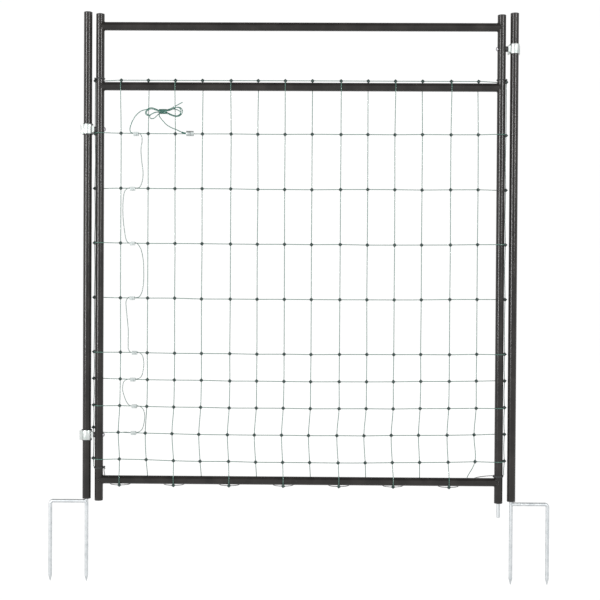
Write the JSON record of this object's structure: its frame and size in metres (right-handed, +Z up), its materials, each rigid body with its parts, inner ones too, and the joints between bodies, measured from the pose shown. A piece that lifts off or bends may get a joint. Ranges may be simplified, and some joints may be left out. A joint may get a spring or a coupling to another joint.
{
  "type": "electric netting gate",
  "caption": "Tube-framed leaf strung with electric netting, clipped to fork-footed posts so that it lifts and swings, with a hooked latch clip and a jumper lead held by line clamps.",
  "frame": {"origin": "hinge post's axis at ground level, at the underside of its fork's crossbar", "axes": "+X along the closed leaf from the hinge post to the latch post, +Z up along the posts, -Y the side that the leaf opens to"},
  "size_m": [1.3765, 0.0343, 1.5635],
  "materials": {
    "tube_coating": "satin near-black powder coat",
    "black_plastic": "moulded black plastic, slightly glossy",
    "galvanised_rod": "galvanised, bright grey",
    "clip_zinc": "bright zinc plate",
    "bolt_zinc": "zinc plated",
    "knot_plastic": "dark moulded knots",
    "tie_cord": "black twisted cord",
    "net_twine": "green twisted polymer twine with bright conductor wires",
    "line_clamp_metal": "dull zinc",
    "lead_wire": "grey-green twisted conductor lead",
    "feed_cord_twine": "glossy green twisted cord"
  },
  "bodies": {
    "posts": {"hinge_post": "tube_coating", "latch_post": "tube_coating", "hinge_post_cap": "black_plastic", "latch_post_cap": "black_plastic", "hinge_post_plug": "black_plastic", "latch_post_plug": "black_plastic", "hinge_main_prong": "galvanised_rod", "hinge_side_prong": "galvanised_rod", "latch_main_prong": "galvanised_rod", "latch_side_prong": "galvanised_rod"},
    "hinge_bushes": {"upper_hinge_bush": "black_plastic", "lower_hinge_bush": "black_plastic"},
    "leaf": {"hinge_stile": "tube_coating", "latch_stile": "tube_coating", "top_rail": "tube_coating", "middle_rail": "tube_coating", "bottom_rail": "tube_coating", "hinge_stile_cap": "black_plastic", "latch_stile_cap": "black_plastic", "hinge_stile_plug": "black_plastic", "latch_stile_plug": "black_plastic", "ground_pin": "galvanised_rod", "upper_hinge_clip": "clip_zinc", "lower_hinge_clip": "clip_zinc", "latch_clip": "clip_zinc", "clip_bolts": "bolt_zinc", "saddle_spacers": "black_plastic", "net_top_line": "net_twine", "net_line_1": "net_twine", "net_line_2": "net_twine", "net_line_3": "net_twine", "net_line_4": "net_twine", "net_line_5": "net_twine", "net_line_6": "net_twine", "net_line_7": "net_twine", "net_line_8": "net_twine", "net_line_9": "net_twine", "net_bottom_line": "net_twine", "hinge_edge_upright": "net_twine", "latch_edge_upright": "net_twine", "front_uprights": "net_twine", "back_uprights": "net_twine", "net_knots": "knot_plastic", "corner_ties": "tie_cord", "clamp_bodies": "line_clamp_metal", "clamp_plates": "line_clamp_metal", "clamp_screws": "line_clamp_metal", "jumper_lead": "lead_wire", "feed_cord_left": "feed_cord_twine", "feed_cord_hank": "feed_cord_twine", "feed_cord_right": "feed_cord_twine", "feed_cord_end": "feed_cord_twine", "feed_clamp_body": "line_clamp_metal", "feed_clamp_nut": "line_clamp_metal"}
  },
  "joints": [
    {"name": "leaf_lift", "type": "slide", "parent": "posts", "child": "hinge_bushes", "axis": [0, 0, 1], "range_m": [0, 0.06]},
    {"name": "leaf_swing", "type": "hinge", "parent": "hinge_bushes", "child": "leaf", "pos_m": [0, 0, 0.6], "axis": [0, 0, -1], "range_deg": [0, 135]}
  ]
}
